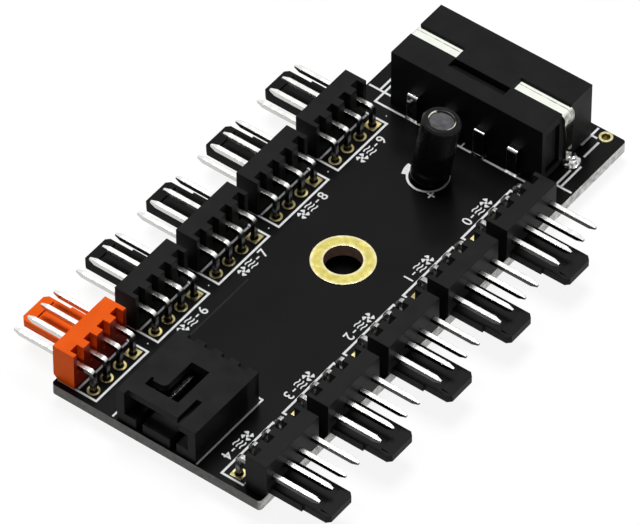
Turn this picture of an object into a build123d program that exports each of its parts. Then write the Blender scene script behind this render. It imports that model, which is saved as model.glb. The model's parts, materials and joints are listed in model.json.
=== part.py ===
from build123d import *
import math
import os

# Fan hub: a bare circuit board with ten right-angle fan headers along its two long edges, a four-way
# power inlet at the far end, a shrouded control inlet at the near end and one capacitor.
# Millimetres. The origin is the centre of the mounting hole on the board's underside, +X runs across
# the board, +Y along it towards the power inlet, and +Z up through the components.

# Board
board_width = 31.5
board_thickness = 1.6
board_near_margin = 6.0
board_far_margin = 20.5
board_corner_radius = 0.5
mounting_hole_diameter = 4.9
plating_barrel_wall = 0.2
plating_thickness = 0.1
plating_flange_diameter = 8.2
corner_hole_diameter = 1.2
corner_hole_side_inset = 2.45
corner_hole_end_inset = 0.95

# Square pins, shared by the fan headers and the control inlet
pin_pitch = 2.54
pin_side = 0.64
pin_tip_inset = 0.18
pin_tip_length = 0.9
pin_bend_radius = 0.8
pin_tail = 1.4
pin_clearance = 0.03
pins_per_connector = 4

# Fan headers: two rows, each header's rear grooves face the middle of the board
headers_per_row = 5
header_gap = 1.84
header_depth = 3.2
header_height = 5.6
header_overhang = 0.35
header_end_margin = 1.27
header_bevel = 0.7
header_pin_height = 3.0
header_pin_reach = 6.9
header_pad_setback = 1.9
groove_width = 1.3
groove_depth = 1.0
groove_drop = 0.75

# Locking tongue of a fan header
tongue_length = 8.4
tongue_width = 4.9
tongue_offset = 1.6
tongue_thickness = 1.1
tongue_lift = 0.25
tongue_tip_chamfer = 0.5
tongue_key_length = 4.6
tongue_key_width = 0.3
ridge_height = 0.25
ridge_length = 1.3
ridge_setback = 0.3

# Power inlet: four round contacts in a shroud that opens over the far end of the board
power_depth = 10.4
power_end_inset = 1.75
power_side_wall = 1.05
power_floor = 0.65
power_roof = 1.75
power_back_wall = 2.2
power_cavity_height = 6.4
power_end_room = 1.83
power_key_chamfer = 2.0
power_ways = 4
power_pitch = 5.08
contact_diameter = 2.1
contact_reach = 6.9
contact_nose = 0.3
contact_clearance = 0.03
tail_width = 1.5
tail_thickness = 0.5
tail_root = 1.2
tail_bend_radius = 0.4
power_pad_setback = 0.7
power_tail = 1.2
side_pocket_width = 2.8
side_pocket_height = 6.6
side_pocket_depth = 0.6
side_pocket_setback = 0.8
side_pocket_lift = 1.0

# Metal strap that holds the power inlet down
strap_width = 1.95
strap_thickness = 0.4
strap_sink = 0.35
strap_setback = 5.1
strap_inner_radius = 0.45
strap_clearance = 0.05
strap_foot_width = 1.2
strap_taper = 2.6
strap_tail = 1.0
bridge_length = 8.5
bridge_shift = -0.35
pocket_width = 1.6
pocket_depth = 1.2
pocket_wall = 0.2

# Control inlet: square pins in a latching shroud that opens over the near end of the board
control_depth = 12.35
control_end_inset = 0.3
control_side_wall = 1.15
control_floor = 1.6
control_roof = 1.0
control_back_wall = 3.0
control_mouth_height = 2.6
control_end_room = 0.65
control_pin_setback = 4.3
control_pad_setback = 1.3
roof_lip_setback = 0.75
roof_slot_width = 0.8
roof_slot_length = 4.5
roof_slot_x = 3.1
floor_slot_width = 1.0
floor_slot_length = 2.7
floor_slot_x = 2.54
notch_width = 1.15
notch_depth = 0.65
window_right_x = 1.25
window_left_x = -1.45
window_front_setback = 2.75
window_length = 6.1
window_hook_x = -3.8
window_hook_width = 1.0
window_hook_end = 0.4
window_corner_radius = 0.8

# Capacitor: it leans a little, the way it was soldered
cap_setback = 6.7
cap_diameter = 5.0
cap_height = 9.4
cap_lift = 0.7
cap_lean = 8.5
cap_heading = 37.0
sleeve_wall = 0.25
sleeve_lip = 0.5
sleeve_edge_chamfer = 0.3
crimp_height = 1.5
crimp_depth = 0.15
crimp_length = 0.7
bung_thickness = 1.2
bung_inset = 0.45
lead_diameter = 0.5
lead_spacing = 2.0
lead_clearance = 0.03
lead_tail = 1.1

# Places worked out from the sizes above
pin_span = (pins_per_connector - 1) * pin_pitch
pin_hole = pin_side + 2 * pin_clearance
header_length = pin_span + 2 * header_end_margin
header_spacing = header_length + header_gap
board_length = board_near_margin + (headers_per_row - 1) * header_spacing + board_far_margin
half_board = board_width / 2
board_near = -board_length / 2
board_far = board_length / 2
first_header_y = board_near + board_near_margin
header_front = half_board + header_overhang
header_rear = header_front - header_depth
header_pad_x = header_rear - header_pad_setback
power_span = (power_ways - 1) * power_pitch
power_width = power_span + contact_diameter + 2 * (power_end_room + power_side_wall)
power_height = power_floor + power_cavity_height + power_roof
power_mouth = board_far - power_end_inset
power_back = power_mouth - power_depth
power_axis_height = power_floor + power_cavity_height / 2
power_pad_y = power_back - power_pad_setback
strap_y = power_back + strap_setback
strap_leg_x = power_width / 2 + strap_clearance + strap_thickness / 2
strap_top = power_height - strap_sink
strap_bend_radius = strap_inner_radius + strap_thickness / 2
control_width = pin_span + pin_side + 2 * (control_end_room + control_side_wall)
control_front = board_near + control_end_inset
control_back = control_front + control_depth
control_pad_y = control_back + control_pad_setback
control_roof_under = control_floor + control_mouth_height
control_height = control_roof_under + control_roof
control_pin_height = control_floor + control_mouth_height / 2
cap_y = power_pad_y - cap_setback
cap_tilt = math.radians(cap_lean)
can_radius = cap_diameter / 2 - sleeve_wall


def spread(count, pitch):
    """Evenly spaced offsets, centred on zero."""
    return [(index - (count - 1) / 2) * pitch for index in range(count)]


def block(low, high):
    """Box between two opposite corners."""
    size = [top - bottom for bottom, top in zip(low, high)]
    return Pos(*low) * Box(*size, align=(Align.MIN, Align.MIN, Align.MIN))


def on_board(part):
    """Part lifted from its own zero level to the board's top face."""
    return Pos(0, 0, board_thickness) * part


pin_offsets = spread(pins_per_connector, pin_pitch)
contact_offsets = spread(power_ways, power_pitch)
header_places = [first_header_y + index * header_spacing for index in range(headers_per_row)]

# The capacitor tips towards its heading without turning about its own axis.
cap_turn = Rot(0, 0, cap_heading) * Rot(0, cap_lean, 0) * Rot(0, 0, -cap_heading)
cap_pose = Pos(0, cap_y, board_thickness + cap_lift) * cap_turn


def in_cap(x, y, z):
    """Point given in the capacitor's own upright frame, moved to where it leans."""
    return (cap_pose * Pos(x, y, z)).position


def board():
    """Laminate with two round holes, and an opening for every lead as small as its solder leaves it."""
    pin_opening = Rectangle(pin_hole, pin_hole)
    tail_opening = Rectangle(tail_width + 2 * pin_clearance, tail_thickness + 2 * pin_clearance)
    strap_opening = Rectangle(strap_thickness + 2 * pin_clearance, strap_foot_width + 2 * pin_clearance)
    leaning_lead = lead_diameter / math.cos(cap_tilt) + board_thickness * math.tan(cap_tilt)
    lead_opening = Rectangle(leaning_lead + 2 * lead_clearance, lead_diameter + 2 * lead_clearance)
    corner_hole = Circle(corner_hole_diameter / 2)

    cut = [Circle(mounting_hole_diameter / 2 + plating_barrel_wall)]
    cut.append(Pos(half_board - corner_hole_side_inset, board_far - corner_hole_end_inset) * corner_hole)
    for offset in pin_offsets:
        cut.append(Pos(offset, control_pad_y) * pin_opening)
        cut += [Pos(-header_pad_x, place + offset) * pin_opening for place in header_places]
        cut += [Pos(header_pad_x, place + offset) * pin_opening for place in header_places]
    cut += [Pos(offset, power_pad_y) * tail_opening for offset in contact_offsets]
    half_way_down = -(cap_lift + board_thickness / 2) / math.cos(cap_tilt)
    for side in (-1, 1):
        cut.append(Pos(side * strap_leg_x, strap_y) * strap_opening)
        crossing = in_cap(side * lead_spacing / 2, 0, half_way_down)
        cut.append(Pos(crossing.X, crossing.Y) * Rot(0, 0, cap_heading) * lead_opening)
    outline = RectangleRounded(board_width, board_length, board_corner_radius) - cut
    return extrude(outline, amount=board_thickness)


def mounting_hole_plating():
    """Plated barrel of the mounting hole, with a flange on each face of the board."""
    inner = mounting_hole_diameter / 2
    barrel = inner + plating_barrel_wall
    flange = plating_flange_diameter / 2
    top = board_thickness
    section = Polygon(
        (inner, -plating_thickness),
        (flange, -plating_thickness),
        (flange, 0),
        (barrel, 0),
        (barrel, top),
        (flange, top),
        (flange, top + plating_thickness),
        (inner, top + plating_thickness),
        align=None,
    )
    return revolve(Plane.XZ * section, axis=Axis.Z)


def bent_bar(reach, drop, width, thickness, bend_radius):
    """Bar out along +X and down along -Z from a tight bend, whose middle lines cross at the origin."""
    half = thickness / 2
    profile = Polygon(
        (reach, half),
        (-half, half),
        (-half, -drop),
        (half, -drop),
        (half, -half),
        (reach, -half),
        align=None,
    )
    outer_corner = profile.vertices().sort_by_distance((-half, half))[0]
    profile = fillet(outer_corner, bend_radius)
    return extrude(Plane.XZ * profile, amount=width / 2, both=True)


def square_pin(reach, drop):
    """Bent square pin with a tapered tip."""
    pin = bent_bar(reach, drop, pin_side, pin_side, pin_bend_radius)
    tip = pin.faces().sort_by(Axis.X)[-1]
    return chamfer(tip.edges(), pin_tip_inset, pin_tip_length, reference=tip)


def header_housing():
    """Fan header moulding of the right-hand row, centred on the X axis and standing on zero."""
    profile = Polygon(
        (header_rear, 0),
        (header_front - header_bevel, 0),
        (header_front, header_bevel),
        (header_front, header_height),
        (header_rear, header_height),
        align=None,
    )
    housing = extrude(Plane.XZ * profile, amount=header_length / 2, both=True)

    # The tongue sits off centre, below the pins, and is wider at its root on one side.
    tongue_start = header_front - header_bevel
    tongue_tip = header_front + tongue_length
    tongue_y = -tongue_offset
    tongue_top = tongue_lift + tongue_thickness
    plate_middle = Pos((tongue_start + tongue_tip) / 2, tongue_y)
    plate = plate_middle * Rectangle(tongue_tip - tongue_start, tongue_width)
    plate = chamfer(plate.vertices().sort_by(Axis.X)[-2:], tongue_tip_chamfer)
    key_low = (tongue_start, tongue_y - tongue_width / 2 - tongue_key_width, tongue_lift)
    key_high = (header_front + tongue_key_length, tongue_y, tongue_top)
    housing += Pos(0, 0, tongue_lift) * extrude(plate, amount=tongue_thickness)
    housing += block(key_low, key_high)

    # Catch ridge across the tongue, steep towards the header and shallow towards the tip.
    ridge_end = tongue_tip - ridge_setback
    ridge_width = tongue_width - 2 * tongue_tip_chamfer
    ridge = Polygon(
        (ridge_end - ridge_length, tongue_top),
        (ridge_end, tongue_top),
        (ridge_end - ridge_length, tongue_top + ridge_height),
        align=None,
    )
    housing += Pos(0, tongue_y, 0) * extrude(Plane.XZ * ridge, amount=ridge_width / 2, both=True)

    # Each pin leaves through an open groove in the rear face.
    groove = Pos(header_rear, 0) * Rectangle(2 * groove_depth, groove_width)
    groove_floor = header_pin_height - groove_drop
    hole = Pos(header_rear, 0, header_pin_height) * Box(4 * header_depth, pin_hole, pin_hole)
    for offset in pin_offsets:
        housing -= Pos(0, offset, groove_floor) * extrude(groove, amount=header_height)
        housing -= Pos(0, offset, 0) * hole
    return housing


def header_pins():
    """The pins of one right-hand fan header, from their tips over the tongue to their tails."""
    reach = header_front + header_pin_reach - header_pad_x
    drop = header_pin_height + board_thickness + pin_tail
    pin = square_pin(reach, drop)
    return [Pos(header_pad_x, offset, header_pin_height) * pin for offset in pin_offsets]


def power_housing():
    """Power inlet moulding: keyed shroud, strap groove with its bridge, side pockets."""
    half = power_width / 2
    housing = block((-half, power_back, 0), (half, power_mouth, power_height))

    # Keyed cavity, open at the mouth, with its two upper corners cut off
    inside = half - power_side_wall
    cavity_top = power_floor + power_cavity_height
    cavity = Polygon(
        (-inside, power_floor),
        (inside, power_floor),
        (inside, cavity_top - power_key_chamfer),
        (inside - power_key_chamfer, cavity_top),
        (-inside + power_key_chamfer, cavity_top),
        (-inside, cavity_top - power_key_chamfer),
        align=None,
    )
    mouth_plane = Plane(origin=(0, power_mouth, 0), x_dir=(1, 0, 0), z_dir=(0, -1, 0))
    housing -= extrude(mouth_plane * cavity, amount=power_depth - power_back_wall)

    # Slots through the back wall for the flat tails of the contacts
    slot_width = tail_width + 2 * contact_clearance
    slot = Box(slot_width, 4 * power_back_wall, tail_thickness + 2 * contact_clearance)
    for offset in contact_offsets:
        housing -= Pos(offset, power_back, power_axis_height) * slot

    # Strap groove across the roof; the bridge leaves a tunnel there, with a sloping pocket in front of it
    groove_half = strap_width / 2 + strap_clearance
    groove_front = strap_y - groove_half
    groove_rear = strap_y + groove_half
    groove_floor = strap_top - strap_thickness - strap_clearance
    tunnel_top = strap_top + strap_clearance
    bridge_left = bridge_shift - bridge_length / 2
    bridge_right = bridge_shift + bridge_length / 2
    housing -= block((-half, groove_front, groove_floor), (half, groove_rear, tunnel_top))
    housing -= block((-half, groove_front, groove_floor), (bridge_left, groove_rear, power_height))
    housing -= block((bridge_right, groove_front, groove_floor), (half, groove_rear, power_height))
    for side in (-1, 1):
        groove_end = housing.edges().sort_by_distance((side * half, strap_y, groove_floor))[0]
        housing = fillet(groove_end, strap_inner_radius)
    pocket_rear = groove_front - pocket_wall
    slope = Polygon(
        (pocket_rear - pocket_width, power_height),
        (pocket_rear, power_height - pocket_depth),
        (pocket_rear, power_height),
        align=None,
    )
    housing -= Pos(bridge_left, 0, 0) * extrude(Plane.YZ * slope, amount=bridge_length)

    # Moulding pockets in the two side faces, in front of the strap's legs
    pocket_front = power_back + side_pocket_setback
    pocket_top = side_pocket_lift + side_pocket_height
    for side in (-1, 1):
        pocket = block(
            (half - side_pocket_depth, pocket_front, side_pocket_lift),
            (half, pocket_front + side_pocket_width, pocket_top),
        )
        housing -= pocket if side > 0 else mirror(pocket, about=Plane.YZ)
    return housing


def power_pin(x):
    """Round contact seated on the back wall, and its flat tail through the wall and the board."""
    upright = (Align.CENTER, Align.CENTER, Align.MIN)
    contact = Rot(-90, 0, 0) * Cylinder(contact_diameter / 2, contact_reach, align=upright)
    contact = chamfer(contact.edges().sort_by(Axis.Y)[-1], contact_nose)
    seat = power_back_wall + contact_clearance
    reach = power_pad_setback + seat + tail_root
    drop = power_axis_height + board_thickness + power_tail
    tail = Rot(0, 0, 90) * bent_bar(reach, drop, tail_width, tail_thickness, tail_bend_radius)
    pin = Pos(0, seat, 0) * contact + Pos(0, -power_pad_setback, 0) * tail
    return Pos(x, power_back, power_axis_height) * pin


def power_strap():
    """Strap over the power inlet: flat bar in the groove, legs that taper to the board."""
    middle = strap_top - strap_thickness / 2
    leg_top = middle - strap_bend_radius
    path = FilletPolyline(
        (-strap_leg_x, strap_y, leg_top - strap_bend_radius),
        (-strap_leg_x, strap_y, middle),
        (strap_leg_x, strap_y, middle),
        (strap_leg_x, strap_y, leg_top - strap_bend_radius),
        radius=strap_bend_radius,
    )
    half_width = strap_width / 2
    half_thick = strap_thickness / 2
    start = Plane(origin=path @ 0, x_dir=(0, 1, 0), z_dir=path % 0)
    strap = sweep(start * Rectangle(strap_width, strap_thickness), path=path)
    leg_end = leg_top - strap_bend_radius
    half_foot = strap_foot_width / 2
    foot_end = -board_thickness - strap_tail
    leg = Polygon(
        (-half_width, leg_end),
        (half_width, leg_end),
        (half_foot, leg_end - strap_taper),
        (half_foot, foot_end),
        (-half_foot, foot_end),
        (-half_foot, leg_end - strap_taper),
        align=None,
    )
    leg_solid = extrude(Plane.YZ * leg, amount=half_thick, both=True)
    for side in (-1, 1):
        strap += Pos(side * strap_leg_x, strap_y, 0) * leg_solid
    return strap


def control_housing():
    """Control inlet moulding: open mouth, latch window, keying slots and rear pin notches."""
    half = control_width / 2
    inside = half - control_side_wall
    top = control_height
    housing = block((-half, control_front, 0), (half, control_back, top))
    cavity_end = control_back - control_back_wall
    housing -= block((-inside, control_front, control_floor), (inside, cavity_end, control_roof_under))
    housing -= block(
        (-inside, control_front, control_roof_under),
        (roof_slot_x + roof_slot_width / 2, control_front + roof_lip_setback, top),
    )

    # One keying slot in the roof, two in the floor
    slot_left = roof_slot_x - roof_slot_width / 2
    slot_high = (slot_left + roof_slot_width, control_front + roof_slot_length, top)
    housing -= block((slot_left, control_front, control_roof_under), slot_high)
    for side in (-1, 1):
        left = side * floor_slot_x - floor_slot_width / 2
        slot_high = (left + floor_slot_width, control_front + floor_slot_length, control_floor)
        housing -= block((left, control_front, 0), slot_high)

    # Hooked latch window in the roof, round the rounded end of a short tongue
    window_front = control_front + window_front_setback
    window_back = window_front + window_length
    hook_back = window_front + window_hook_width
    hook_inner = window_hook_x + window_hook_end
    window = Polygon(
        (window_right_x, window_front),
        (window_right_x, window_back),
        (window_left_x, window_back),
        (window_left_x, hook_back),
        (hook_inner, hook_back),
        (hook_inner, hook_back + window_hook_end),
        (window_hook_x, hook_back + window_hook_end),
        (window_hook_x, window_front),
        align=None,
    )
    tongue_corner = window.vertices().sort_by_distance((window_left_x, hook_back))[0]
    window = fillet(tongue_corner, window_corner_radius)
    housing -= Pos(0, 0, control_roof_under) * extrude(window, amount=control_roof)

    # The pins leave through the back wall, each in a notch
    hole = Box(pin_hole, 2 * control_back_wall, pin_hole)
    notch_low = (-notch_width / 2, control_back - notch_depth, control_pin_height - groove_drop)
    notch = block(notch_low, (notch_width / 2, control_back, top))
    for offset in pin_offsets:
        housing -= Pos(offset, control_back - control_back_wall / 2, control_pin_height) * hole
        housing -= Pos(offset, 0, 0) * notch
    return housing


def control_pin(x):
    """Square pin of the control inlet, from its tip inside the shroud to its tail."""
    reach = control_pad_y - control_front - control_pin_setback
    drop = control_pin_height + board_thickness + pin_tail
    pin = square_pin(reach, drop)
    return Pos(x, control_pad_y, control_pin_height) * Rot(0, 0, -90) * pin


def capacitor_can():
    """Aluminium can, closed at the top, with its bung's seat at the bottom."""
    upright = (Align.CENTER, Align.CENTER, Align.MIN)
    return Cylinder(can_radius, cap_height - sleeve_wall, align=upright) - capacitor_bung()


def capacitor_sleeve():
    """Shrunk plastic sleeve with a crimp groove round it, turned in over the top of the can."""
    radius = cap_diameter / 2
    lip = cap_height - sleeve_wall
    mouth = can_radius - sleeve_lip
    section = Polygon(
        (can_radius, 0),
        (radius, 0),
        (radius, crimp_height - crimp_length / 2),
        (radius - crimp_depth, crimp_height),
        (radius, crimp_height + crimp_length / 2),
        (radius, cap_height - sleeve_edge_chamfer),
        (radius - sleeve_edge_chamfer, cap_height),
        (mouth, cap_height),
        (mouth, lip),
        (can_radius, lip),
        align=None,
    )
    return revolve(Plane.XZ * section, axis=Axis.Z)


def capacitor_bung():
    """Rubber bung in the can's open end."""
    upright = (Align.CENTER, Align.CENTER, Align.MIN)
    return Cylinder(can_radius - bung_inset, bung_thickness, align=upright)


def capacitor_lead(side):
    """Straight round lead from the bung, through the board, to its trimmed end."""
    length = (cap_lift + board_thickness + lead_tail) / math.cos(cap_tilt)
    hanging = (Align.CENTER, Align.CENTER, Align.MAX)
    return Pos(side * lead_spacing / 2, 0, 0) * Cylinder(lead_diameter / 2, length, align=hanging)


# Nodes: the right-hand row counts from the far end, the left-hand row carries on from the near end.
nodes = {"board": board(), "mounting_hole_plating": mounting_hole_plating()}

right_housing = on_board(header_housing())
right_pins = [on_board(pin) for pin in header_pins()]
half_turn = Rot(0, 0, 180)
for index, place in enumerate(header_places):
    right_port = headers_per_row - 1 - index
    left_port = headers_per_row + index
    shift = Pos(0, place, 0)
    nodes[f"fan_header_{right_port}"] = shift * right_housing
    nodes[f"fan_pins_{right_port}"] = Compound(children=[shift * pin for pin in right_pins])
    nodes[f"fan_header_{left_port}"] = shift * half_turn * right_housing
    nodes[f"fan_pins_{left_port}"] = Compound(children=[shift * half_turn * pin for pin in right_pins])

nodes["power_housing"] = on_board(power_housing())
nodes["power_strap"] = on_board(power_strap())
for number, offset in enumerate(contact_offsets, start=1):
    nodes[f"power_pin_{number}"] = on_board(power_pin(offset))

nodes["control_housing"] = on_board(control_housing())
for number, offset in enumerate(pin_offsets, start=1):
    nodes[f"control_pin_{number}"] = on_board(control_pin(offset))

nodes["capacitor_can"] = cap_pose * capacitor_can()
nodes["capacitor_sleeve"] = cap_pose * capacitor_sleeve()
nodes["capacitor_bung"] = cap_pose * capacitor_bung()
nodes["capacitor_leads"] = Compound(children=[cap_pose * capacitor_lead(side) for side in (-1, 1)])

os.makedirs("parts", exist_ok=True)
for name, shape in nodes.items():
    export_step(shape, f"parts/{name}.step")
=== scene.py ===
import json
import math

import bmesh
import bpy
from mathutils import Matrix, Vector


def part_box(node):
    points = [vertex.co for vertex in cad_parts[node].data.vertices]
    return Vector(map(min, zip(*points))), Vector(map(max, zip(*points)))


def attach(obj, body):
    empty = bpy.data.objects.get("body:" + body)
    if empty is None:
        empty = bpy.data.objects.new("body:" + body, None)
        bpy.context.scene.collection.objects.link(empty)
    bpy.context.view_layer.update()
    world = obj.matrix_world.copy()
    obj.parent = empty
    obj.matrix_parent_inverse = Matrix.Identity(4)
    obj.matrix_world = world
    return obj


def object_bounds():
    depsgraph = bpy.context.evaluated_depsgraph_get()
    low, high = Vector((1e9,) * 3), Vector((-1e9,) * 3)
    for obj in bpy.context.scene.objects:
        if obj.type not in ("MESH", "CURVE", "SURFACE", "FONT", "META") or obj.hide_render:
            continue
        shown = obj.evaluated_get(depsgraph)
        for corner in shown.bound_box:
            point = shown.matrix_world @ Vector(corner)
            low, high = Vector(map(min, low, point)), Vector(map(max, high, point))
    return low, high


# Looks of a fan controller hub: finishes of its solids, pads, solder, white legend, studio and camera
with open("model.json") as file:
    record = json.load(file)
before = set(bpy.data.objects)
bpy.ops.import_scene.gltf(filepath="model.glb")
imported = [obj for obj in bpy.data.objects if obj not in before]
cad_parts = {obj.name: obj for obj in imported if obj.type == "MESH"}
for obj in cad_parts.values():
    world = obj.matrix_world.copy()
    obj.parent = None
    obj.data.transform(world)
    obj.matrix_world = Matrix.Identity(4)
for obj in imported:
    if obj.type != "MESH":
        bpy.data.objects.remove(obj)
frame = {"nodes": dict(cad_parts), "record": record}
cad_low, cad_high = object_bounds()

mm = 0.001

# Camera: a long lens that looks down on the near right corner
camera_azimuth = 37.121
camera_elevation = 46.828
camera_distance = 917.347 * mm
camera_offset_right = -2.738 * mm
camera_offset_up = -0.219 * mm
camera_target = Vector((-0.09 * mm, -0.02 * mm, 1.6 * mm))
camera_lens = 424.08
camera_sensor = 36.0
camera_near = 0.01
camera_far = 20.0

# Light: a soft lamp overhead, a low one on the right, a white surround and a white floor
key_direction = Vector((-0.2, 0.22, 0.95))
key_size = 0.35
key_power = 4.2
fill_direction = Vector((1.0, 0.05, 0.03))
fill_size = 0.045
fill_power = 1.7
lamp_distance = 0.7
sky_strength = 0.12
floor_size = 4.0
floor_roughness = 0.9
floor_albedo = 0.85
floor_glow = 1.05
floor_glow_share = 0.85

# Painted shadow: a dark patch of floor under the middle of the board
shade_albedo = 0.008
shade_inset = 1.9 * mm
shade_blend = 0.8 * mm

# Ports: the first five stand along the right edge, the others along the left one
ways = 4
contact_numbers = range(1, ways + 1)
header_numbers = range(10)
right_ports = range(5)
left_ports = range(5, 10)
orange_port = 5

# Front of the headers' bodies, where their tongues start
body_front = 16.1 * mm
body_blend = 0.1 * mm

# Leads, copper and solder
hole_radius = 2.45 * mm
pin_side = 0.64 * mm
tail_thickness = 0.5 * mm
strap_thickness = 0.4 * mm
lead_inset = 0.3 * mm
copper_height = 0.035 * mm
pad_radius = 0.85 * mm
pad_hole_radius = 0.56 * mm
wide_pad_radius = 1.5 * mm
wide_hole_half_x = 0.85 * mm
wide_hole_half_y = 0.35 * mm
solder_height = 0.8 * mm
solder_neck = 0.36 * mm
solder_hollow = 2.2
solder_share = 0.94
wide_solder_share = 0.92
round_steps = 32

# White legend
ink_height = 0.02 * mm
ink_width = 0.3 * mm
ink_thin_width = 0.2 * mm
ink_fine_width = 0.17 * mm
edge_gap = 0.25 * mm
header_line_inner = {1: 9.3 * mm, -1: -9.65 * mm}
header_line_half_length = 5.02 * mm
header_line_body = 12.6 * mm
header_dot_radius = 0.09 * mm
header_dot_x = 10.5 * mm
header_dot_y = 6.07 * mm
dot_steps = 12
mark_x = {1: 8.15 * mm, -1: -8.55 * mm}
mark_shift = 0.4 * mm

# Noise runs mostly between these two values
noise_low = 0.3
noise_high = 0.7

# Widths and slopes over which the painted light and shade on a piece change
corner_turn = 0.08 * mm
border_width = 0.1 * mm
wide_border_width = 0.16 * mm
border_range = (0.78, 0.97)
steep_range = (0.63, 0.93)
tilted_range = (0.7, 0.99)
right_range = (0.5, 0.9)

# Places taken from the frame
board_low, board_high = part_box("board")
board_top = board_high.z
board_under = board_low.z
power_low, power_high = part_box("power_housing")
control_low, control_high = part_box("control_housing")


def place_in(tree):
    """Place on the object, in metres."""
    return tree.nodes.new("ShaderNodeTexCoord").outputs["Object"]


def new_material(name):
    """New material, its node tree, its shader and the place on the object."""
    material = bpy.data.materials.new(name)
    material.use_nodes = True
    tree = material.node_tree
    return material, tree, tree.nodes["Principled BSDF"], place_in(tree)


def noise(tree, place, size, detail=3.0):
    """Noise whose patches are about as large as size."""
    texture = tree.nodes.new("ShaderNodeTexNoise")
    texture.inputs["Scale"].default_value = 1 / size
    texture.inputs["Detail"].default_value = detail
    tree.links.new(place, texture.inputs["Vector"])
    return texture.outputs["Fac"]


def between(tree, value, low, high, start=noise_low, end=noise_high):
    """Value spread over low to high as it runs from start to end."""
    spread = tree.nodes.new("ShaderNodeMapRange")
    spread.inputs["From Min"].default_value = start
    spread.inputs["From Max"].default_value = end
    spread.inputs["To Min"].default_value = low
    spread.inputs["To Max"].default_value = high
    tree.links.new(value, spread.inputs["Value"])
    return spread.outputs["Result"]


def rising(tree, value, start, end):
    """Zero up to start, one from end on."""
    return between(tree, value, 0.0, 1.0, start, end)


def falling(tree, value, start, end):
    """One up to start, zero from end on."""
    return between(tree, value, 1.0, 0.0, start, end)


def shades(tree, value, dark, pale):
    """Colour that runs from dark to pale with the value."""
    ramp = tree.nodes.new("ShaderNodeValToRGB")
    first, last = ramp.color_ramp.elements
    first.position = noise_low
    first.color = (*dark, 1)
    last.position = noise_high
    last.color = (*pale, 1)
    tree.links.new(value, ramp.inputs["Fac"])
    return ramp.outputs["Color"]


def blend(tree, share, first, second):
    """Colour between the first and the second by a share."""
    mix = tree.nodes.new("ShaderNodeMix")
    mix.data_type = "RGBA"
    tree.links.new(share, mix.inputs["Factor"])
    tree.links.new(first, mix.inputs["A"])
    tree.links.new(second, mix.inputs["B"])
    return mix.outputs["Result"]


def part_of(tree, vector, axis):
    """One coordinate of a vector."""
    parts = tree.nodes.new("ShaderNodeSeparateXYZ")
    tree.links.new(vector, parts.inputs["Vector"])
    return parts.outputs[axis]


def combine(tree, operation, *values):
    """Result of a math operation on linked values."""
    node = tree.nodes.new("ShaderNodeMath")
    node.operation = operation
    for value, socket in zip(values, node.inputs):
        tree.links.new(value, socket)
    return node.outputs["Value"]


def size_of(tree, value):
    """Value without its sign."""
    return combine(tree, "ABSOLUTE", value)


def larger(tree, first, second):
    """Larger of two values."""
    return combine(tree, "MAXIMUM", first, second)


def smaller(tree, first, second):
    """Smaller of two values."""
    return combine(tree, "MINIMUM", first, second)


def product(tree, first, second):
    """Product of two values."""
    return combine(tree, "MULTIPLY", first, second)


def distance_from(tree, value, middle):
    """Distance of a value from a fixed middle."""
    offset = tree.nodes.new("ShaderNodeMath")
    offset.operation = "SUBTRACT"
    offset.inputs[1].default_value = middle
    tree.links.new(value, offset.inputs[0])
    return size_of(tree, offset.outputs["Value"])


def bevelled_normal(tree, radius):
    """Direction of the surface, turned gradually over edges of the given radius."""
    bevel = tree.nodes.new("ShaderNodeBevel")
    bevel.inputs["Radius"].default_value = radius
    return bevel.outputs["Normal"]


def true_normal(tree):
    """Direction of the flat face."""
    return tree.nodes.new("ShaderNodeNewGeometry").outputs["True Normal"]


def upness(tree):
    """Upward part of the bevelled surface's direction."""
    return part_of(tree, bevelled_normal(tree, corner_turn), "Z")


def steep(tree):
    """One on upright faces and undersides, zero on slopes and level faces."""
    return falling(tree, upness(tree), *steep_range)


def beyond_body(tree):
    """One outside the bodies of the fan headers, zero over the board."""
    reach = size_of(tree, part_of(tree, place_in(tree), "X"))
    return rising(tree, reach, body_front, body_front + body_blend)


def within_body(tree):
    """One over the board, zero outside the bodies of the fan headers."""
    return falling(tree, beyond_body(tree), 0.0, 1.0)


def steep_beyond(tree):
    """One on upright faces outside the bodies of the fan headers."""
    return smaller(tree, steep(tree), beyond_body(tree))


def tilted_beyond(tree):
    """One on all but the levellest faces outside the bodies of the fan headers."""
    tilted = falling(tree, upness(tree), *tilted_range)
    return smaller(tree, tilted, beyond_body(tree))


def steep_tail(tree):
    """One on upright faces of the tails behind the power inlet."""
    along = part_of(tree, place_in(tree), "Y")
    behind = falling(tree, along, power_low.y, power_low.y + body_blend)
    return smaller(tree, steep(tree), behind)


def facing_right(tree):
    """One on faces that look towards +X, where the orange header gets painted shade."""
    return rising(tree, part_of(tree, true_normal(tree), "X"), *right_range)


def borders(tree, width=border_width):
    """One along the edges of a piece, zero away from them."""
    likeness = tree.nodes.new("ShaderNodeVectorMath")
    likeness.operation = "DOT_PRODUCT"
    tree.links.new(bevelled_normal(tree, width), likeness.inputs[0])
    tree.links.new(tree.nodes.new("ShaderNodeNewGeometry").outputs["Normal"], likeness.inputs[1])
    return falling(tree, likeness.outputs["Value"], *border_range)


def wide_borders(tree):
    """One along the edges of a piece, further in."""
    return borders(tree, wide_border_width)


def ring_borders(tree):
    """One along the inner and outer edge of the mounting hole's bare ring, zero between them."""
    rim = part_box("mounting_hole_plating")[1].x
    half = (rim - hole_radius) / 2
    start = half - 0.45 * mm
    end = half - 0.1 * mm
    flat_place = tree.nodes.new("ShaderNodeVectorMath")
    flat_place.operation = "MULTIPLY"
    flat_place.inputs[1].default_value = (1, 1, 0)
    tree.links.new(place_in(tree), flat_place.inputs[0])
    reach = tree.nodes.new("ShaderNodeVectorMath")
    reach.operation = "LENGTH"
    tree.links.new(flat_place.outputs["Vector"], reach.inputs[0])
    from_middle = distance_from(tree, reach.outputs["Value"], (hole_radius + rim) / 2)
    return rising(tree, from_middle, start, end)


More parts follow.
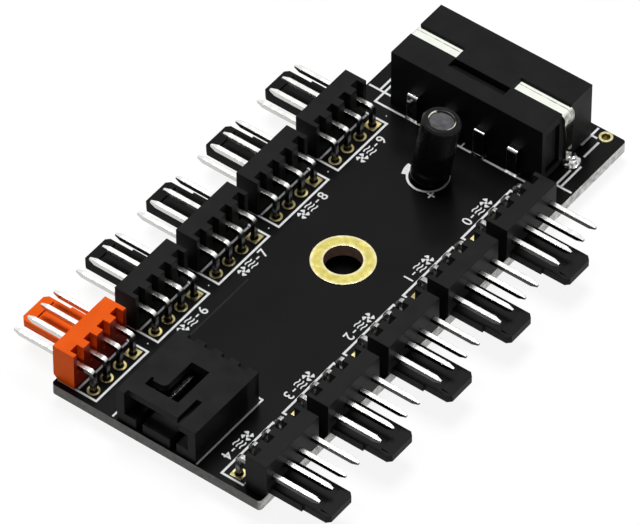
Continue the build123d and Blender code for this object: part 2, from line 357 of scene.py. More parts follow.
def relief(tree, shader, height, depth, edge=None):
    """Bump of the given depth, over edges that are rounded by the radius edge."""
    bump = tree.nodes.new("ShaderNodeBump")
    bump.inputs["Strength"].default_value = 1.0
    bump.inputs["Distance"].default_value = depth
    tree.links.new(height, bump.inputs["Height"])
    if edge:
        tree.links.new(bevelled_normal(tree, edge), bump.inputs["Normal"])
    tree.links.new(bump.outputs["Normal"], shader.inputs["Normal"])


def cloudy(tree, shader, clouds, dark, pale, smooth, dull):
    """Colour and gloss that vary with the clouds."""
    tree.links.new(shades(tree, clouds, dark, pale), shader.inputs["Base Color"])
    tree.links.new(between(tree, clouds, smooth, dull), shader.inputs["Roughness"])


def moulded(name, dark, pale, specular, smooth=0.34, dull=0.46, edge=0.1 * mm):
    """Moulded plastic with a fine eroded grain, soft edges and cloudy gloss."""
    grain_size = 0.12 * mm
    grain_depth = 0.004 * mm
    cloud_size = 2.5 * mm
    material, tree, shader, place = new_material(name)
    cloudy(tree, shader, noise(tree, place, cloud_size), dark, pale, smooth, dull)
    shader.inputs["Specular IOR Level"].default_value = specular
    relief(tree, shader, noise(tree, place, grain_size), grain_depth, edge)
    return material


def plated(name, dark, pale, smooth, dull, patch=0.8 * mm):
    """Plated metal with cloudy gloss and a faint waviness."""
    wave_depth = 0.002 * mm
    soft_edge = 0.07 * mm
    material, tree, shader, place = new_material(name)
    clouds = noise(tree, place, patch)
    cloudy(tree, shader, clouds, dark, pale, smooth, dull)
    shader.inputs["Metallic"].default_value = 1.0
    relief(tree, shader, clouds, wave_depth, soft_edge)
    return material


def toned(material, mask_of, dark, pale, patch=0.8 * mm):
    """Second tone on a material, where the mask made by mask_of says so; every use here paints light or
    shade.
    """
    tree = material.node_tree
    target = tree.nodes["Principled BSDF"].inputs["Base Color"]
    first = target.links[0].from_socket
    second = shades(tree, noise(tree, place_in(tree), patch), dark, pale)
    tree.links.new(blend(tree, mask_of(tree), first, second), target)


def dulled(material, mask_of):
    """Takes the mirror of a metal away where the mask made by mask_of says so."""
    tree = material.node_tree
    metal = falling(tree, mask_of(tree), 0.0, 1.0)
    tree.links.new(metal, tree.nodes["Principled BSDF"].inputs["Metallic"])


def strap_tin():
    """Tinned strap: a mirror, with painted shade on its upright faces and a dark line along it, broken by
    blotches.
    """
    cloud_size = 1.2 * mm
    blotch_size = 0.7 * mm
    streak_share = 0.66
    streak_half = 0.09 * mm
    wave_depth = 0.002 * mm
    soft_edge = 0.03 * mm
    low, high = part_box("power_strap")
    material, tree, shader, place = new_material("strap_tin")
    clouds = noise(tree, place, cloud_size)
    blotches = noise(tree, place, blotch_size)
    bright = shades(tree, clouds, (0.90, 0.92, 0.84), (0.96, 0.98, 0.90))
    # Painted shade: the strap's upright faces take this darker, blotchy tone
    ends = shades(tree, blotches, (0.16, 0.16, 0.14), (0.62, 0.63, 0.58))
    faces = blend(tree, steep(tree), bright, ends)
    # A dark line runs along the strap at two thirds of its width, broken by the blotches
    streak_colour = shades(tree, clouds, (0.20, 0.20, 0.17), (0.34, 0.34, 0.30))
    streak_y = low.y + streak_share * (high.y - low.y)
    from_streak = distance_from(tree, part_of(tree, place, "Y"), streak_y)
    streak = falling(tree, from_streak, streak_half / 2, streak_half)
    broken = product(tree, streak, between(tree, blotches, 0.3, 1.0, 0.4, 0.6))
    tree.links.new(blend(tree, broken, faces, streak_colour), shader.inputs["Base Color"])
    tree.links.new(between(tree, clouds, 0.04, 0.10), shader.inputs["Roughness"])
    shader.inputs["Metallic"].default_value = 1.0
    relief(tree, shader, clouds, wave_depth, soft_edge)
    return material


def rim_aluminium(middle, start, end):
    """Bare aluminium painted dark, with painted highlights where it lies further than start from the
    middle along X.
    """
    cloud_size = 0.5 * mm
    material, tree, shader, place = new_material("rim_aluminium")
    clouds = noise(tree, place, cloud_size)
    dim = shades(tree, clouds, (0.012, 0.012, 0.011), (0.05, 0.05, 0.045))
    bright = shades(tree, clouds, (0.62, 0.60, 0.46), (0.84, 0.82, 0.70))
    ends = rising(tree, distance_from(tree, part_of(tree, place, "X"), middle), start, end)
    tree.links.new(blend(tree, ends, dim, bright), shader.inputs["Base Color"])
    tree.links.new(between(tree, clouds, 0.15, 0.3), shader.inputs["Roughness"])
    shader.inputs["Metallic"].default_value = 1.0
    return material


def masked_laminate():
    """Black solder mask on the board's faces, and bare laminate on its edges: painted shade darkens the
    ends, painted light makes the long sides paler.
    """
    cloud_size = 9 * mm
    weave_size = 0.7 * mm
    wave_size = 1.5 * mm
    wave_depth = 0.002 * mm
    mask_roughness = 0.21
    bare_roughness = 0.7
    material, tree, shader, place = new_material("masked_laminate")
    weave = noise(tree, place, weave_size)
    mask = shades(tree, noise(tree, place, cloud_size), (0.0044, 0.0044, 0.0048), (0.0068, 0.0068, 0.0072))
    # Painted shade on the board's ends and painted light on its long sides
    shaded_ends = shades(tree, weave, (0.17, 0.17, 0.165), (0.25, 0.25, 0.245))
    lit_sides = shades(tree, weave, (0.34, 0.34, 0.33), (0.74, 0.74, 0.73))
    normal = true_normal(tree)
    laminate = blend(tree, size_of(tree, part_of(tree, normal, "X")), shaded_ends, lit_sides)
    flat = size_of(tree, part_of(tree, normal, "Z"))
    tree.links.new(blend(tree, flat, laminate, mask), shader.inputs["Base Color"])
    roughness = between(tree, flat, bare_roughness, mask_roughness, 0.0, 1.0)
    tree.links.new(roughness, shader.inputs["Roughness"])
    shader.inputs["Specular IOR Level"].default_value = 0.07
    relief(tree, shader, noise(tree, place, wave_size), wave_depth)
    return material


def ink():
    """White legend ink, a little uneven."""
    grain_size = 0.25 * mm
    material, tree, shader, place = new_material("legend_ink")
    grain = noise(tree, place, grain_size)
    cloudy(tree, shader, grain, (0.74, 0.74, 0.75), (0.88, 0.88, 0.88), 0.5, 0.7)
    shader.inputs["Specular IOR Level"].default_value = 0.3
    return material


def grey(level):
    """Neutral colour."""
    return (level, level, level)


def black_nylon(name):
    """Black plastic of the headers."""
    return moulded(name, (0.0092, 0.0092, 0.0096), (0.0125, 0.0125, 0.0130), 0.05)


def bright_tin(name):
    """Tin plate of the square pins."""
    return plated(name, (0.78, 0.78, 0.76), (0.86, 0.86, 0.84), 0.16, 0.26)


# Materials of the record's slots
finishes = {
    "laminate": masked_laminate(),
    "gold_plate": plated("gold_plate", (0.62, 0.55, 0.145), (0.69, 0.60, 0.175), 0.10, 0.22),
    "black_nylon": black_nylon("black_nylon"),
    "orange_nylon": moulded("orange_nylon", (0.86, 0.106, 0.004), (0.94, 0.124, 0.006), 0.05),
    "tin_plate": bright_tin("tin_plate"),
    "strap_steel": strap_tin(),
    # Painted reflection: the can's bare aluminium gets a dark grey that stands in for the dark
    # surroundings it mirrors
    "can_aluminium": plated("can_aluminium", (0.055, 0.055, 0.058), (0.080, 0.080, 0.084), 0.30, 0.45),
    "sleeve_plastic": moulded("sleeve_plastic", (0.006, 0.006, 0.0065), (0.009, 0.009, 0.0095), 0.1,
                              0.2, 0.3, 0.2 * mm),
    "bung_rubber": moulded("bung_rubber", grey(0.008), grey(0.014), 0.1, 0.6, 0.8),
}
# Painted shade: a deeper red on the orange header's faces that look towards +X
toned(finishes["orange_nylon"], facing_right, (0.35, 0.015, 0.003), (0.40, 0.018, 0.004))
# Painted highlight: paler gold along the inner and outer edges of the mounting hole's ring
toned(finishes["gold_plate"], ring_borders, (0.78, 0.70, 0.38), (0.88, 0.80, 0.48))
# Painted shade: a brown tone, without the metal's mirror, on the upright walls of the mounting hole's bore
toned(finishes["gold_plate"], steep, (0.42, 0.29, 0.22), (0.52, 0.37, 0.29))
dulled(finishes["gold_plate"], steep)

# Materials of the pieces made here
legend_ink = ink()
pad_gold = plated("pad_gold", (0.13, 0.11, 0.06), (0.62, 0.53, 0.24), 0.22, 0.38, patch=1.9 * mm)
pale_gold = plated("pale_gold", (0.52, 0.47, 0.25), (0.70, 0.64, 0.38), 0.12, 0.25)
# Painted shade: a dark brown tone on the upright walls of the corner eyelet's bore
toned(pale_gold, steep, (0.13, 0.10, 0.02), (0.22, 0.16, 0.03))
solder = plated("solder", grey(0.07), (0.92, 0.92, 0.90), 0.10, 0.25, patch=0.45 * mm)
raised_mask = moulded("raised_mask", (0.0125, 0.0125, 0.0130), (0.0175, 0.0175, 0.0180), 0.09, 0.2, 0.26)

# Materials of nodes that differ from their slot: the pins get painted shade and reflection on their flanks
# and outlines
far_nylon_shaded_tongues = black_nylon("far_nylon_shaded_tongues")
# Painted shade: darker tongues, outside the bodies, on the far row of black headers
toned(far_nylon_shaded_tongues, beyond_body, (0.0040, 0.0040, 0.0042), (0.0056, 0.0056, 0.0058))
tail_tin = plated("tail_tin", (0.74, 0.74, 0.72), (0.82, 0.82, 0.80), 0.05, 0.10)
# Painted reflection: dark, speckled upright faces on the tails behind the power inlet
toned(tail_tin, steep_tail, grey(0.015), grey(0.34), patch=0.5 * mm)
near_tin = bright_tin("near_tin")
# Painted shade and reflection on the near row's pins: darker bends over the board, dark upright flanks,
# very dark tilted faces outside the bodies and dark outlines
toned(near_tin, within_body, grey(0.26), (0.52, 0.52, 0.51), patch=0.4 * mm)
toned(near_tin, steep, grey(0.14), grey(0.30))
toned(near_tin, tilted_beyond, grey(0.04), grey(0.07))
toned(near_tin, wide_borders, grey(0.14), grey(0.20))
far_tin = bright_tin("far_tin")
# Painted reflection and light on the far row's pins: dark upright flanks over the board, paler upright
# faces outside the bodies and dark outlines
toned(far_tin, steep, grey(0.07), grey(0.12))
toned(far_tin, steep_beyond, (0.56, 0.56, 0.54), (0.62, 0.62, 0.60))
toned(far_tin, borders, grey(0.10), grey(0.12))
own_finishes = {
    "power_housing": moulded("power_nylon", (0.0085, 0.0085, 0.0090), (0.0110, 0.0110, 0.0115), 0.045),
    "control_housing": moulded("control_nylon", (0.0080, 0.0080, 0.0086), (0.0145, 0.0145, 0.0152), 0.045),
}
for number in contact_numbers:
    own_finishes[f"power_pin_{number}"] = tail_tin
    own_finishes[f"control_pin_{number}"] = near_tin
for number in right_ports:
    own_finishes[f"fan_pins_{number}"] = near_tin
for number in left_ports:
    own_finishes[f"fan_pins_{number}"] = far_tin
    if number != orange_port:
        own_finishes[f"fan_header_{number}"] = far_nylon_shaded_tongues
for part in frame["record"]["subparts"]:
    node = frame["nodes"][part["node"]]
    node.data.materials.clear()
    node.data.materials.append(own_finishes.get(part["node"], finishes[part["material_slot"]]))


def on_circle(centre, radius, turn):
    """Point on a circle at a bearing in radians."""
    return (centre[0] + radius * math.cos(turn), centre[1] + radius * math.sin(turn))


def circle(centre, radius, count=round_steps):
    """Points round a circle."""
    return [on_circle(centre, radius, 2 * math.pi * index / count) for index in range(count)]


def arc(centre, radius, start, end, steps):
    """Points along an arc between two bearings in degrees."""
    turns = [math.radians(start + (end - start) * index / steps) for index in range(steps + 1)]
    return [on_circle(centre, radius, turn) for turn in turns]


def rectangle(centre, half_x, half_y, count=round_steps):
    """Points round a rectangle, at the bearings of its corners and evenly between them."""
    points = []
    for x, y in circle((0, 0), 1.0, count):
        reach = 1 / max(abs(x), abs(y))
        points.append((centre[0] + x * reach * half_x, centre[1] + y * reach * half_y))
    return points


def join_loops(shape, loops, closed):
    """Faces between loops of points, each a list of places with the same count."""
    rows = [[shape.verts.new(point) for point in loop] for loop in loops]
    pairs = list(zip(rows, rows[1:]))
    if closed:
        pairs.append((rows[-1], rows[0]))
    count = len(rows[0])
    for first, second in pairs:
        for index in range(count):
            after = (index + 1) % count
            shape.faces.new((first[index], first[after], second[after], second[index]))
    if not closed:
        shape.faces.new(rows[0][::-1])
        shape.faces.new(rows[-1])


def at_level(outline, level):
    """Outline lifted to a level."""
    return [(x, y, level) for x, y in outline]


def prism(shape, outline, low, high):
    """Upright prism over an outline."""
    join_loops(shape, [at_level(outline, low), at_level(outline, high)], closed=False)


def ring(shape, inner, outer, low, high):
    """Upright prism between two outlines with the same number of points."""
    loops = [at_level(inner, low), at_level(outer, low), at_level(outer, high), at_level(inner, high)]
    join_loops(shape, loops, closed=True)


def lathe(shape, centre, profile, closed=False):
    """Solid turned about an upright axis, from (radius, level) pairs; a closed profile leaves a bore."""
    join_loops(shape, [at_level(circle(centre, radius), level) for radius, level in profile], closed)


def ribbon(shape, points, width, low, high):
    """Flat line along the points, mitred at its corners."""
    spots = [Vector(point) for point in points]
    runs = [(end - start).normalized() for start, end in zip(spots, spots[1:])]
    sides = [Vector((-run.y, run.x)) for run in runs]
    left = []
    right = []
    for index, spot in enumerate(spots):
        before = sides[max(index - 1, 0)]
        after = sides[min(index, len(sides) - 1)]
        mitre = (before + after) / (1 + before.dot(after)) * (width / 2)
        left.append(tuple(spot + mitre))
        right.append(tuple(spot - mitre))
    prism(shape, right + left[::-1], low, high)


def add_piece(name, shape, material, smooth=False):
    """Finished mesh as a piece of the hub."""
    bmesh.ops.recalc_face_normals(shape, faces=shape.faces)
    mesh = bpy.data.meshes.new(name)
    shape.to_mesh(mesh)
    shape.free()
    mesh.materials.append(material)
    for face in mesh.polygons:
        face.use_smooth = smooth
    piece = bpy.data.objects.new(name, mesh)
    bpy.context.scene.collection.objects.link(piece)
    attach(piece, "root")


def side_of(number):
    """Edge that a fan header stands on: 1 for the right one, -1 for the left one."""
    return 1 if number in right_ports else -1


def middle_of(number):
    """Middle of a fan header along the board."""
    low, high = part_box(f"fan_pins_{number}")
    return (low.y + high.y) / 2


def fan_pad_places(number):
    """Centre of each pad of a fan header, and whether it is the square pad of pin one."""
    low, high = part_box(f"fan_pins_{number}")
    side = side_of(number)
    pad_x = (low.x if side > 0 else high.x) + side * pin_side / 2
    first = low.y + pin_side / 2
    pitch = (high.y - low.y - pin_side) / (ways - 1)
    pin_one = 0 if side > 0 else ways - 1
    return [((pad_x, first + index * pitch), index == pin_one) for index in range(ways)]


def square_pin_places():
    """Centre of every pad of a square pin, and whether it is the square pad of pin one."""
    places = []
    for number in header_numbers:
        places += fan_pad_places(number)
    for number in contact_numbers:
        low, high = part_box(f"control_pin_{number}")
        places.append((((low.x + high.x) / 2, high.y - pin_side / 2), number == 1))
    return places


def tail_places():
    """Centre of each flat tail of the power inlet."""
    boxes = [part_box(f"power_pin_{number}") for number in contact_numbers]
    return [((low.x + high.x) / 2, low.y + tail_thickness / 2) for low, high in boxes]


def strap_foot_places():
    """Centre of each foot of the strap."""
    low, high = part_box("power_strap")
    half = strap_thickness / 2
    return [(x, (low.y + high.y) / 2) for x in (low.x + half, high.x - half)]


def lead_places():
    """About where each capacitor lead leaves the board's underside."""
    low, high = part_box("capacitor_leads")
    middle = (low.y + high.y) / 2 - lead_inset
    return [(low.x + lead_inset, middle - lead_inset), (high.x - 2 * lead_inset, middle + lead_inset)]


def solder_cone(shape, centre, foot):
    """Hollow-flanked cone of solder round a lead, under the board."""
    steps = 6
    profile = []
    for index in range(steps + 1):
        drop = index / steps
        radius = solder_neck + (foot - solder_neck) * (1 - drop) ** solder_hollow
        profile.append((radius, board_under - solder_height * drop))
    lathe(shape, centre, profile)


def pads_and_solder():
    """Pads on both faces of the board and the solder joints underneath."""
    top_pads = bmesh.new()
    under_pads = bmesh.new()
    joints = bmesh.new()
    for centre, is_first in square_pin_places():
        outer = rectangle(centre, pad_radius, pad_radius) if is_first else circle(centre, pad_radius)
        hole = circle(centre, pad_hole_radius)
        ring(top_pads, hole, outer, board_top, board_top + copper_height)
        ring(under_pads, hole, outer, board_under - copper_height, board_under)
        solder_cone(joints, centre, solder_share * pad_radius)
    for centre in tail_places() + strap_foot_places():
        hole = rectangle(centre, wide_hole_half_x, wide_hole_half_y)
        ring(under_pads, hole, circle(centre, wide_pad_radius), board_under - copper_height, board_under)
        solder_cone(joints, centre, wide_solder_share * wide_pad_radius)
    for centre in lead_places():
        solder_cone(joints, centre, pad_radius)
    add_piece("pads_top", top_pads, pad_gold)
    add_piece("pads_under", under_pads, pad_gold)
    add_piece("solder_under", joints, finishes["tin_plate"], smooth=True)


def tail_solder():
    """Thin collars of solder where the power tails enter the board from above."""
    collars = bmesh.new()
    half_x = 0.78 * mm
    half_y = 0.27 * mm
    spread_out = 0.25 * mm
    rise = 0.3 * mm
    for centre in tail_places():
        tail = rectangle(centre, half_x, half_y)
        foot = rectangle(centre, half_x + spread_out, half_y + spread_out)
        loops = [at_level(tail, board_top), at_level(foot, board_top), at_level(tail, board_top + rise)]
        join_loops(collars, loops, closed=True)
    add_piece("tail_solder", collars, solder)


def strap_solder():
    """Lumpy mounds of solder at the strap's feet."""
    mounds = bmesh.new()
    radius = 1.35 * mm
    height = 0.85 * mm
    outward = 0.5 * mm
    last_tilt = math.radians(86)
    steps = 8
    for x, y in strap_foot_places():
        side = 1 if x > 0 else -1
        profile = []
        for index in range(steps):
            tilt = last_tilt * index / (steps - 1)
            profile.append((radius * math.cos(tilt), board_top + height * math.sin(tilt)))
        lathe(mounds, (x + side * outward, y), profile)
    lump = 0.13 * mm
    wave = 0.19 * mm
    wave_start = 1.0
    for vertex in mounds.verts:
        lift = math.sin(vertex.co.x / wave + wave_start) * math.sin(vertex.co.y / wave)
        if vertex.co.z > board_top:
            vertex.co.z += lump * lift
    add_piece("strap_solder", mounds, solder, smooth=True)


def corner_eyelet():
    """Plated hole in the far right corner of the board."""
    eyelet = bmesh.new()
    side_inset = 2.45 * mm
    end_inset = 0.95 * mm
    bore = 0.57 * mm
    barrel = 0.59 * mm
    flange = 0.92 * mm
    profile = [
        (bore, board_under - copper_height),
        (flange, board_under - copper_height),
        (flange, board_under),
        (barrel, board_under),
        (barrel, board_top),
        (flange, board_top),
        (flange, board_top + copper_height),
        (bore, board_top + copper_height),
    ]
    lathe(eyelet, (board_high.x - side_inset, board_high.y - end_inset), profile, closed=True)
    add_piece("corner_eyelet", eyelet, pale_gold)


def can_shoulder():
    """Bare rounded shoulder of the capacitor's can, inside the lip of its sleeve, with painted highlights
    at its two ends along X.
    """
    lean = math.radians(8.5)
    heading = math.radians(37.0)
    ring_radius = 1.7 * mm
    wire_radius = 0.14 * mm
    wire_steps = 12
    lift = 0.1 * mm
    level_slack = 0.01 * mm
    # The painted highlights grow between these shares of the ring's radius
    shine_start = 0.8 * ring_radius
    shine_end = 0.93 * ring_radius
    axis = Vector((math.sin(lean) * math.cos(heading), math.sin(lean) * math.sin(heading), math.cos(lean)))
    points = [vertex.co for vertex in frame["nodes"]["capacitor_can"].data.vertices]
    top = max(axis.dot(point) for point in points)
    rim = [point for point in points if axis.dot(point) > top - level_slack]
    centre = sum(rim, Vector()) / len(rim)
    shoulder = bmesh.new()
    lathe(shoulder, (0, 0), circle((ring_radius, 0), wire_radius, wire_steps), closed=True)
    pose = Matrix.Translation(centre + lift * axis) @ axis.to_track_quat("Z", "Y").to_matrix().to_4x4()
    bmesh.ops.transform(shoulder, matrix=pose, verts=shoulder.verts)
    bright = rim_aluminium(centre.x, shine_start, shine_end)
    add_piece("can_shoulder", shoulder, bright, smooth=True)


def masked_track():
    """Copper track that lifts the solder mask a little."""
    track_x = -7.3 * mm
    track_end = -9.4 * mm
    width = 0.3 * mm
    height = 0.015 * mm
    track = bmesh.new()
    line = [(track_x, control_high.y), (track_x, track_end)]
    ribbon(track, line, width, board_top, board_top + height)
    add_piece("track", track, raised_mask)


def ink_line(shape, points, width=ink_width):
    """Legend line on the board's upper face."""
    ribbon(shape, points, width, board_top, board_top + ink_height)


def ink_patch(shape, outline):
    """Filled legend patch on the board's upper face."""
    prism(shape, outline, board_top, board_top + ink_height)


def header_legend(number):
    """Frame round the pads of one fan header, and its small dot where the board has room for it."""
    lines = bmesh.new()
    side = side_of(number)
    middle = middle_of(number)
    body = side * header_line_body
    edge = side * (board_high.x - edge_gap)
    near_end = body if side > 0 else edge
    near = middle - header_line_half_length
    far = middle + header_line_half_length
    inner = header_line_inner[side]
    ink_line(lines, [(near_end, near), (inner, near), (inner, far), (edge, far)])
    ink_line(lines, [(body, near + ink_width), (body, far - ink_width)])
    dot_y = middle - side * header_dot_y
    if abs(dot_y) < board_high.y - edge_gap:
        ink_patch(lines, circle((side * header_dot_x, dot_y), header_dot_radius, dot_steps))
    add_piece(f"legend_fan_{number}", lines, legend_ink)


def rotor_sign(shape, centre):
    """Small four-bladed rotor."""
    hub = 0.2 * mm
    root = 0.27 * mm
    tip = 0.76 * mm
    blades = 4
    root_start = 0
    root_end = 42
    tip_start = 22
    tip_end = 72
    steps = 4
    ink_patch(shape, circle(centre, hub, dot_steps))
    for index in range(blades):
        turn = 360 * index / blades
        outside = arc(centre, tip, turn + tip_start, turn + tip_end, steps)
        inside = arc(centre, root, turn + root_end, turn + root_start, steps)
        ink_patch(shape, outside + inside)


def air_sign(shape, start):
    """Three wavy strokes of moving air."""
    length = 1.25 * mm
    spacing = 0.5 * mm
    swing = 0.1 * mm
    steps = 8
    for row in (-1, 0, 1):
        points = []
        for index in range(steps + 1):
            along = index / steps
            points.append((start + length * along, row * spacing + swing * math.sin(2 * math.pi * along)))
        ink_line(shape, points, ink_fine_width)


def digit_sign(shape, number, centre_x):
    """Plain digit with its middle at the given place."""
    text = bpy.data.curves.new("digit", "FONT")
    text.body = str(number)
    text.size = 1.95 * mm
    text.extrude = ink_height / 2
    text.offset = 0.02 * mm
    text.resolution_u = 4
    weld_distance = 0.0005 * mm
    carrier = bpy.data.objects.new("digit", text)
    bpy.context.scene.collection.objects.link(carrier)
    drawn = carrier.evaluated_get(bpy.context.evaluated_depsgraph_get())
    mesh = bpy.data.meshes.new_from_object(drawn)
    digit = bmesh.new()
    digit.from_mesh(mesh)
    bmesh.ops.remove_doubles(digit, verts=digit.verts, dist=weld_distance)
    low = Vector([min(vertex.co[axis] for vertex in digit.verts) for axis in range(3)])
    high = Vector([max(vertex.co[axis] for vertex in digit.verts) for axis in range(3)])
    middle = (low + high) / 2
    shift = Vector((centre_x - middle.x, -middle.y, board_top - low.z))
    bmesh.ops.translate(digit, verts=digit.verts, vec=shift)
    digit.to_mesh(mesh)
    digit.free()
    shape.from_mesh(mesh)
    bpy.data.objects.remove(carrier)
    bpy.data.meshes.remove(mesh)


def port_mark(number):
    """Generic mark beside a fan header: rotor, moving air, dash and the port's number."""
    rotor_x = -1.9 * mm
    air_start = -0.95 * mm
    dash_start = 0.62 * mm
    dash_end = 1.2 * mm
    digit_x = 2.0 * mm
    side = side_of(number)
    mark = bmesh.new()
    rotor_sign(mark, (rotor_x, 0))
    air_sign(mark, air_start)
    ink_line(mark, [(dash_start, 0), (dash_end, 0)], ink_thin_width)
    digit_sign(mark, number, digit_x)
    turn = Matrix.Rotation(math.radians(-90 * side), 4, "Z")
    place = Matrix.Translation((mark_x[side], middle_of(number) - side * mark_shift, 0))
    bmesh.ops.transform(mark, matrix=place @ turn, verts=mark.verts)
    add_piece(f"port_mark_{number}", mark, legend_ink)


def power_front_legend(lines, front, outer):
    """Line in front of the power inlet, broken at the tails, and its centre tick."""
    tail_gap = 0.9 * mm
    tick_length = 0.85 * mm
    half = ink_width / 2
    tails = [place[0] for place in tail_places()]
    starts = [-outer - half] + [x + tail_gap for x in tails]
    ends = [x - tail_gap for x in tails] + [outer + half]
    for start, end in zip(starts, ends):
        ink_line(lines, [(start, front), (end, front)])
    ink_line(lines, [(0, front + half), (0, front + tick_length)], ink_thin_width)


def power_legend():
    """Outline of the power inlet and its strap, broken at the tails and the solder."""
    lines = bmesh.new()
    front = power_low.y - 1.05 * mm
    cross = power_low.y + 0.85 * mm
    foot_near = power_low.y + 3.95 * mm
    foot_far = power_low.y + 6.75 * mm
    back = power_low.y + 9.9 * mm
    short_end = power_low.y + 5.2 * mm
    rail_start = power_low.y + 8.2 * mm
    rail_tick = power_low.y + 10.35 * mm
    outer = power_high.x + 1.6 * mm
    second = power_high.x + 2.3 * mm
    rail = power_high.x + 0.14 * mm
    tick = 0.9 * mm
    left_overlap = 1.1 * mm
    half = ink_width / 2
    power_front_legend(lines, front, outer)
    for side in (-1, 1):
        edge = side * (board_high.x - edge_gap)
        inward = half if side > 0 else left_overlap
        ink_line(lines, [(side * (outer - inward), cross), (edge, cross)])
        ink_line(lines, [(side * outer, front + half), (side * outer, cross - half)])
        ink_line(lines, [(side * outer, cross + half), (side * outer, foot_near)])
        ink_line(lines, [(side * outer, foot_far), (side * outer, back)])
        ink_line(lines, [(side * second, cross + half), (side * second, short_end)])
        ink_line(lines, [(side * rail, rail_start), (side * rail, board_high.y - edge_gap)])
        ink_line(lines, [(side * (rail + half), rail_tick), (side * (rail + tick), rail_tick)])
    add_piece("legend_power", lines, legend_ink)


def control_legend():
    """Outline of the control inlet."""
    lines = bmesh.new()
    width = 0.25 * mm
    near = board_low.y + edge_gap
    far = control_high.y + 0.5 * mm
    hook = 1.4 * mm
    right = control_high.x + 0.15 * mm
    left = control_low.x - 0.65 * mm
    ink_line(lines, [(right, near), (right, far), (right - hook, far)], width)
    ink_line(lines, [(left, near), (left, far), (left + hook, far)], width)
    add_piece("legend_control", lines, legend_ink)


def plus_sign(shape, x, y):
    """Plus sign of three strokes that meet without overlap."""
    arm = 0.55 * mm
    stroke = 0.22 * mm
    ink_line(shape, [(x - arm, y), (x + arm, y)], stroke)
    ink_line(shape, [(x, y + stroke / 2), (x, y + arm)], stroke)
    ink_line(shape, [(x, y - stroke / 2), (x, y - arm)], stroke)


def capacitor_legend():
    """Ring round the capacitor, filled block on its negative side and a plus sign."""
    signs = bmesh.new()
    centre = (-0.2 * mm, 17.6 * mm)
    plus_x = 1.98 * mm
    plus_y = 15.25 * mm
    radius = 2.6 * mm
    ring_steps = 48
    block_start = 174
    block_end = 209
    block_depth = 0.7 * mm
    block_steps = 8
    inside = radius - ink_width / 2
    outside = radius + ink_width / 2
    outlines = [circle(centre, inside, ring_steps), circle(centre, outside, ring_steps)]
    ring(signs, *outlines, board_top, board_top + ink_height)
    block_outer = arc(centre, radius + block_depth, block_start, block_end, block_steps)
    block_inner = arc(centre, outside, block_end, block_start, block_steps)
    ink_patch(signs, block_outer + block_inner)
    plus_sign(signs, plus_x, plus_y)
    add_piece("legend_capacitor", signs, legend_ink)


pads_and_solder()
tail_solder()
strap_solder()
corner_eyelet()
can_shoulder()
masked_track()
for number in header_numbers:
    header_legend(number)
    # The orange header has no mark in the photograph
    if number != orange_port:
        port_mark(number)
power_legend()
control_legend()
capacitor_legend()


def seen_directly(tree):
    """One for rays from the camera, mirrors and glass, zero for the light that falls on surfaces."""
    path = tree.nodes.new("ShaderNodeLightPath")
    straight = larger(tree, path.outputs["Is Camera Ray"], path.outputs["Is Glossy Ray"])
    return larger(tree, straight, path.outputs["Is Transmission Ray"])


def outside_shade(tree, place):
    """Zero on the floor under the middle of the board, where the painted shadow lies, one elsewhere."""
    half_x = board_high.x - shade_inset
    half_y = board_high.y - shade_inset
    from_x = size_of(tree, part_of(tree, place, "X"))
    from_y = size_of(tree, part_of(tree, place, "Y"))
    beyond_x = rising(tree, from_x, half_x - shade_blend, half_x)
    beyond_y = rising(tree, from_y, half_y - shade_blend, half_y)
    return larger(tree, beyond_x, beyond_y)


def floor_material():
    """Pale floor that shows as white and keeps a light shadow, with a painted shadow that darkens it under
    the middle of the board.
    """
    material, tree, shader, place = new_material("floor_white")
    shader.inputs["Roughness"].default_value = floor_roughness
    shader.inputs["Specular IOR Level"].default_value = 0.0
    outside = outside_shade(tree, place)
    albedo = shades(tree, outside, grey(shade_albedo), grey(floor_albedo))
    tree.links.new(albedo, shader.inputs["Base Color"])
    glow = tree.nodes.new("ShaderNodeEmission")
    glow.inputs["Color"].default_value = (1, 1, 1, 1)
    glow.inputs["Strength"].default_value = floor_glow
    share = product(tree, seen_directly(tree), between(tree, outside, 0.0, floor_glow_share, 0.0, 1.0))
    mix = tree.nodes.new("ShaderNodeMixShader")
    tree.links.new(share, mix.inputs["Fac"])
    tree.links.new(shader.outputs["BSDF"], mix.inputs[1])
    tree.links.new(glow.outputs["Emission"], mix.inputs[2])
    tree.links.new(mix.outputs["Shader"], tree.nodes["Material Output"].inputs["Surface"])
    return material


def add_floor():
    """Floor under the lowest lead."""
    shape = bmesh.new()
    bmesh.ops.create_grid(shape, x_segments=1, y_segments=1, size=floor_size)
    mesh = bpy.data.meshes.new("floor")
    shape.to_mesh(mesh)
    shape.free()
    mesh.materials.append(floor_material())
    floor = bpy.data.objects.new("floor", mesh)
    floor.location = (0, 0, cad_low.z)
    bpy.context.scene.collection.objects.link(floor)


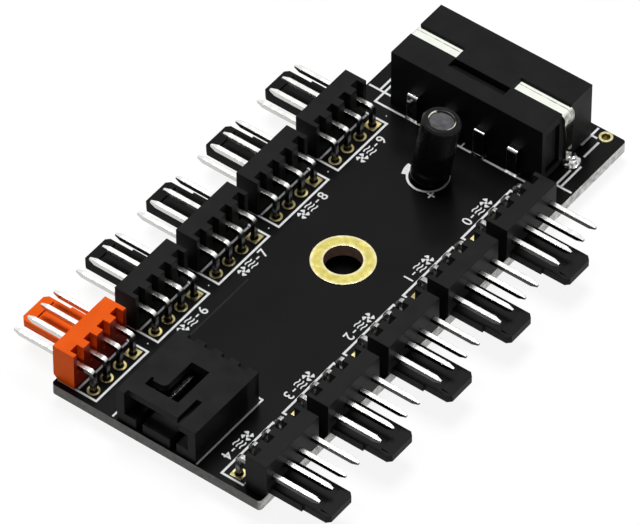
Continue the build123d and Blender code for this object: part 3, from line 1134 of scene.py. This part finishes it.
def add_world():
    """White surround, dimmer for the light that it sheds."""
    world = bpy.data.worlds.new("studio")
    bpy.context.scene.world = world
    world.use_nodes = True
    tree = world.node_tree
    sky = tree.nodes["Background"]
    sky.inputs["Color"].default_value = (1, 1, 1, 1)
    sky.inputs["Strength"].default_value = sky_strength
    white = tree.nodes.new("ShaderNodeBackground")
    white.inputs["Color"].default_value = (1, 1, 1, 1)
    white.inputs["Strength"].default_value = 1.0
    mix = tree.nodes.new("ShaderNodeMixShader")
    tree.links.new(seen_directly(tree), mix.inputs["Fac"])
    tree.links.new(sky.outputs["Background"], mix.inputs[1])
    tree.links.new(white.outputs["Background"], mix.inputs[2])
    tree.links.new(mix.outputs["Shader"], tree.nodes["World Output"].inputs["Surface"])


def add_lamp(name, direction, size, power):
    """Round soft lamp that faces the hub."""
    lamp = bpy.data.lights.new(name, "AREA")
    lamp.shape = "DISK"
    lamp.size = size
    lamp.energy = power
    carrier = bpy.data.objects.new(name, lamp)
    carrier.location = direction.normalized() * lamp_distance
    carrier.rotation_mode = "QUATERNION"
    carrier.rotation_quaternion = direction.to_track_quat("Z", "Y")
    bpy.context.scene.collection.objects.link(carrier)


def add_camera():
    """Camera at the viewing angle of the photograph."""
    azimuth = math.radians(camera_azimuth)
    elevation = math.radians(camera_elevation)
    level = math.cos(elevation)
    back = Vector((math.sin(azimuth) * level, -math.cos(azimuth) * level, math.sin(elevation)))
    right = Vector((math.cos(azimuth), math.sin(azimuth), 0))
    up = back.cross(right)
    lens = bpy.data.cameras.new("camera")
    lens.sensor_width = camera_sensor
    lens.lens = camera_lens
    lens.clip_start = camera_near
    lens.clip_end = camera_far
    camera = bpy.data.objects.new("camera", lens)
    place = camera_target + camera_distance * back + camera_offset_right * right + camera_offset_up * up
    turn = Matrix((right, up, back)).transposed().to_4x4()
    camera.matrix_world = Matrix.Translation(place) @ turn
    bpy.context.scene.collection.objects.link(camera)
    bpy.context.scene.camera = camera


add_floor()
add_world()
add_lamp("key", key_direction, key_size, key_power)
add_lamp("fill", fill_direction, fill_size, fill_power)
add_camera()
bpy.context.scene.view_settings.view_transform = "Standard"
